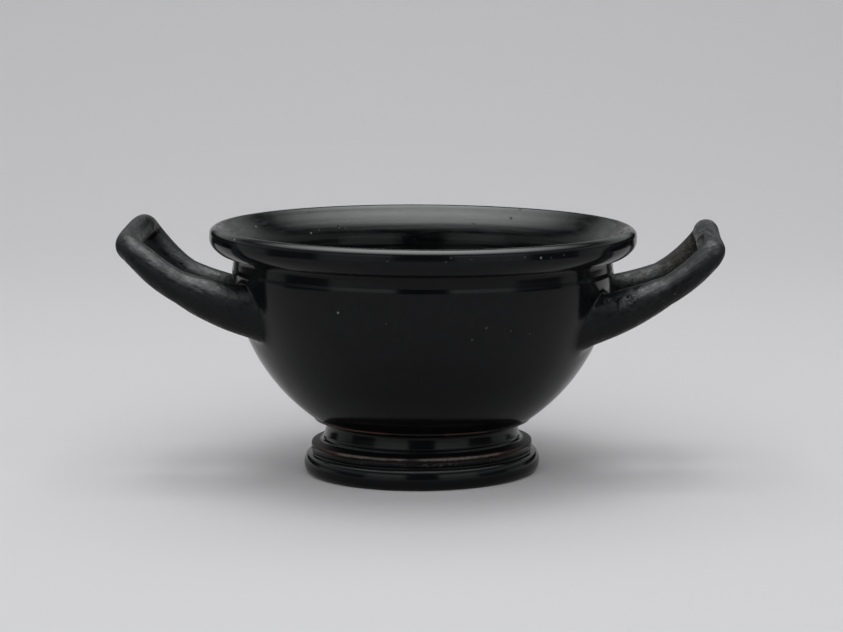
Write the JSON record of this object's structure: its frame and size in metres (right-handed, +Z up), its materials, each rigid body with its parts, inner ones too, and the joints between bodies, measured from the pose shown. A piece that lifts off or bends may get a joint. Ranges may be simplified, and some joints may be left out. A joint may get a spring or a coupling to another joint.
{
  "type": "skyphos",
  "caption": "Black-gloss pottery drinking cup of cup-skyphos form: thick out-turned lip, deep round bowl, moulded ring foot and upswept loop handles.",
  "frame": {"origin": "centre of the foot's underside, on the surface the vessel stands on", "axes": "+Z up from the foot to the lip; +X through the middles of the two handles; +Y across them, away from the side seen from the front"},
  "size_m": [0.1781, 0.1252, 0.0747],
  "materials": {
    "black_gloss": "gloss"
  },
  "bodies": {
    "root": {"skyphos": "black_gloss"}
  },
  "joints": []
}
